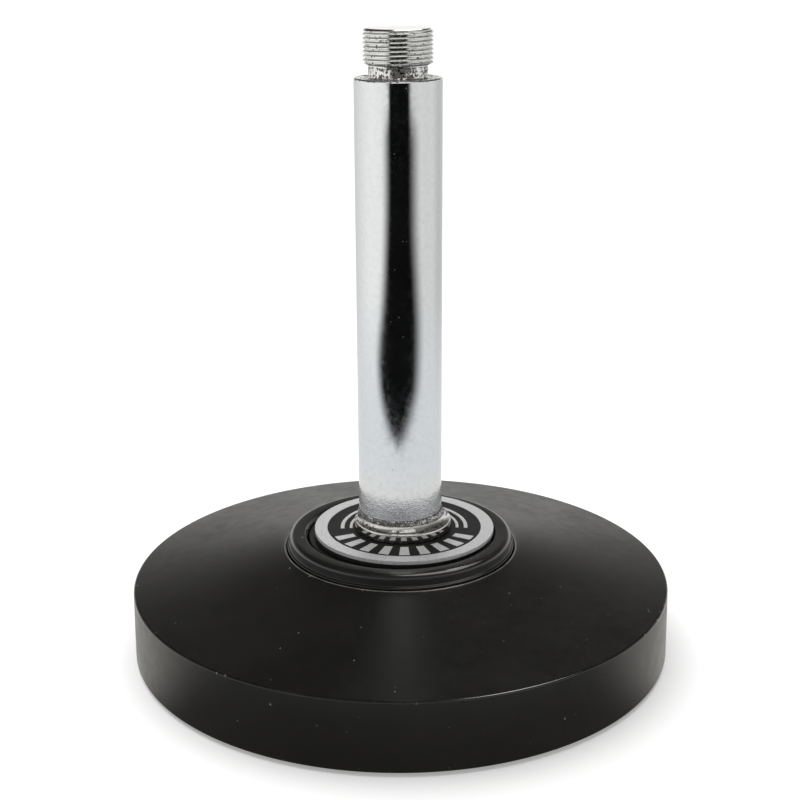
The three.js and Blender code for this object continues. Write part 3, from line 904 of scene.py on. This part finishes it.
def gap_light(s, distance, angle):
    """Dark inside the gap at the front of the table, light outside it."""
    place = s.math("DIVIDE", s.minus(s.math("LOGARITHM", distance, 10.0), GAP_LOG_START),
                   GAP_LOG_SPAN, clamp=True)
    packed = s.split_colour(s.ramp(place, [
        (max(0.0, (math.log10(far) - GAP_LOG_START) / GAP_LOG_SPAN),
         ((left + REACH_OFFSET) / REACH_SCALE, (right + REACH_OFFSET) / REACH_SCALE, 0.0))
        for far, left, right in GAP_REACH
    ]))
    left, right = [s.minus(s.times(packed[i], REACH_SCALE), REACH_OFFSET) for i in (0, 1)]
    # far out the gap's edges turn crisp and ragged
    crisp = s.remap(distance, span=(960, 1180))
    edge_noise = s.minus(s.noise(scale=0.05, detail=3, rough=0.7), 0.5)
    ragged_angle = s.plus(angle, s.times(edge_noise, s.times(crisp, 9.0)))

    def past(outward, reach, inset, width, narrowing):
        """0 inside the gap, 1 past its soft edge; all in degrees."""
        return s.math("DIVIDE", s.minus(outward, s.minus(reach, inset)),
                      s.minus(width, s.times(crisp, narrowing)), clamp=True)

    past_left = past(s.times(ragged_angle, -1.0), left, inset=3.0, width=29.0, narrowing=21.0)
    past_right = past(ragged_angle, right, inset=4.0, width=40.0, narrowing=28.0)
    return s.remap(s.math("MAXIMUM", past_left, past_right), span=(0.0, 1.0), to=(0.004, 1.0))


def floor_material():
    """Pale matt floor. To mirror-like surfaces it glows as a painted reflection: a studio table with a
    dark gap in front.
    """
    mat, s = new_material("pale_floor")
    distance = s.radius()
    # degrees from the front, positive to the right
    angle = s.times(s.math("ARCTAN2", s.xyz[0], s.times(s.xyz[1], -1.0)), 180 / math.pi)

    # the room is brighter on the left than on the right and behind
    turn = s.math("DIVIDE", s.plus(angle, 180.0), 360.0)
    room = s.times(s.ramp(turn, [((degrees + 180) / 360, level / ROOM_SCALE)
                                 for degrees, level in ROOM_BRIGHTNESS]), ROOM_SCALE)
    room_share = s.remap(distance, span=(150, 420), to=(0.15, 1.0))
    room = s.plus(1.0, s.times(s.minus(room, 1.0), room_share))

    # close in front the table is in the base's own shade
    near = s.remap(distance, span=(113, 101))
    shade = s.remap(s.math("ABSOLUTE", angle), span=(50, 76), to=(0.8, 0.0))
    light = s.times(gap_light(s, distance, angle), room, s.minus(1.0, s.times(near, shade)))

    near_tint, mid_tint, far_tint = (1.06, 1.03, 0.97), (0.965, 0.995, 1.02), (1.0, 1.0, 0.985)
    outer_tint = s.mix(s.remap(distance, span=(150, 420)), mid_tint, far_tint)
    tint = s.mix(s.remap(distance, span=(90, 150)), near_tint, outer_tint)

    def emission(colour, strength):
        node = s.node("Emission")
        s.put(node.inputs["Color"], colour)
        node.inputs["Strength"].default_value = strength
        return node.outputs[0]

    def diffuse():
        node = s.node("BsdfDiffuse")
        s.put(node.inputs["Color"], FLOOR_GREY)
        return node.outputs[0]

    lifted = s.node("AddShader")
    s.put(lifted.inputs[0], diffuse())
    s.put(lifted.inputs[1], emission((1, 1, 1), FLOOR_LIFT))
    path = s.node("LightPath").outputs
    direct = s.mix_shader(path["Is Camera Ray"], diffuse(), lifted.outputs[0])
    # in reflections the floor glows with this painted light and shade instead of being lit
    reflected = emission(s.vector_times(tint, light), FLOOR_SEEN)
    s.put(s.node("OutputMaterial").inputs[0],
          s.mix_shader(path["Is Glossy Ray"], direct, reflected))
    return mat


def build_floor():
    bm = bmesh.new()
    bmesh.ops.create_grid(bm, x_segments=4, y_segments=4, size=12.0)
    mesh = bpy.data.meshes.new("floor")
    bm.to_mesh(mesh)
    bm.free()
    floor = bpy.data.objects.new("floor", mesh)
    scene.collection.objects.link(floor)
    mesh.materials.append(floor_material())


# ---------------------------------------------------------------- lights, world and camera


def build_sun():
    """Broad top light for the floor and the badge, kept out of reflections."""
    data = bpy.data.lights.new("top_sun", "SUN")
    data.energy = 2.5
    data.angle = math.radians(70)
    sun = bpy.data.objects.new("top_sun", data)
    sun.rotation_euler = (math.radians(-14), math.radians(-8), 0)
    sun.visible_glossy = False
    scene.collection.objects.link(sun)


def card(name, receivers, place, target, size, power, color=(1, 1, 1)):
    """A rectangular light that falls on the receivers alone."""
    data = bpy.data.lights.new(name, "AREA")
    data.energy = power
    data.color = color
    data.shape = "RECTANGLE"
    data.size, data.size_y = size
    ob = bpy.data.objects.new(name, data)
    ob.location = place
    ob.rotation_euler = (Vector(target) - Vector(place)).to_track_quat("-Z", "Y").to_euler()
    ob.visible_camera = False
    scene.collection.objects.link(ob)
    group = bpy.data.collections.new(name + "_receivers")
    for receiver in receivers:
        group.objects.link(receiver)
    ob.light_linking.receiver_collection = group


def build_world():
    """White to the camera; to everything else a room that darkens upwards."""
    world = bpy.data.worlds.new("studio")
    scene.world = world
    world.use_nodes = True
    s = Shader(world.node_tree)
    direction = s.node("SeparateXYZ")
    s.put(direction.inputs[0], s.node("TexCoord").outputs["Generated"])

    def warm_ramp(stops):
        return s.ramp(direction.outputs[2], [(height, (level, level * 0.985, level * 0.965))
                                             for height, level in stops], ease=True)

    def background(colour):
        node = s.node("Background")
        s.put(node.inputs[0], colour)
        return node.outputs[0]

    # (upward part of the direction, brightness)
    behind = warm_ramp([(0.0, 1.0), (0.10, 1.0), (0.20, 0.58), (0.36, 0.17),
                        (0.48, 0.05), (1.0, 0.05)])
    in_front = warm_ramp([(0.0, 1.0), (0.12, 1.0), (0.24, 0.60), (0.42, 0.24), (1.0, 0.18)])
    frontness = s.remap(direction.outputs[1], span=(-0.02, -0.35))
    room = background(s.mix(frontness, behind, in_front))
    camera_ray = s.node("LightPath").outputs["Is Camera Ray"]
    s.put(s.node("OutputWorld").inputs[0],
          s.mix_shader(camera_ray, room, background((1, 1, 1))))


def build_camera():
    """Camera in front of the stem, looking back and down."""
    data = bpy.data.cameras.new("camera")
    data.sensor_width = 36.0
    data.lens = 67.077
    data.clip_start = 0.01
    data.clip_end = 20
    camera = bpy.data.objects.new("camera", data)
    scene.collection.objects.link(camera)
    pitch, roll = 0.307, 0.005  # radians
    forward = Vector((0, math.cos(pitch), -math.sin(pitch)))
    level = Vector((1, 0, 0))
    down = forward.cross(level)
    right = level * math.cos(roll) + down * math.sin(roll)
    up = level * math.sin(roll) - down * math.cos(roll)
    matrix = Matrix((right, up, -forward)).transposed().to_4x4()
    matrix.translation = Vector((0.00006, -0.33856, 0.16944))
    camera.matrix_world = matrix
    scene.camera = camera


# ---------------------------------------------------------------- build

casting = build_casting()
collar = build_collar()
build_backing()
badge = build_badge()
cup = build_cup()
tube = build_tube()
top_plug = build_top_plug()
build_bottom_plug()
build_flat_washer()
build_spring_washer()
build_nut()
build_feet()
build_floor()
build_sun()

# above and behind, for the thread's flanks
card("thread_card", [top_plug], place=(0.10, 0.16, 0.66), target=(0, 0, 0.145),
     size=(0.40, 0.5), power=1.0)
# in front, for the thread's crests, the cup's shoulder and the tube
card("front_card", [top_plug, cup, tube], place=(0.03, -0.5, 0.55), target=(0, 0, 0.1),
     size=(0.7, 0.6), power=0.9)
# low behind, for the badge's silver
card("badge_card", [badge], place=(0.0, 0.9, 0.47), target=(0, 0, 0.03),
     size=(0.8, 0.4), power=0.6)
# high in front and right, for the rim's rounded edge
card("rim_card", [casting], place=(0.36, -0.135, 0.68), target=(0.023, -0.06, 0.017),
     size=(0.5, 0.2), power=4.0, color=(1, 0.99, 0.97))
# overhead to the right, for the long streaks on the collar, and a small one for its glint
card("collar_card", [collar], place=(0.21, 0.04, 0.62), target=(0, 0, 0.025),
     size=(0.46, 0.5), power=2.4, color=(1, 0.96, 0.91))
card("collar_glint", [collar], place=(0.17, 0.40, 0.60), target=(0, 0, 0.025),
     size=(0.06, 0.06), power=0.22, color=(1, 0.98, 0.95))

build_world()
build_camera()
scene.view_settings.view_transform = "Standard"
scene.view_settings.look = "None"
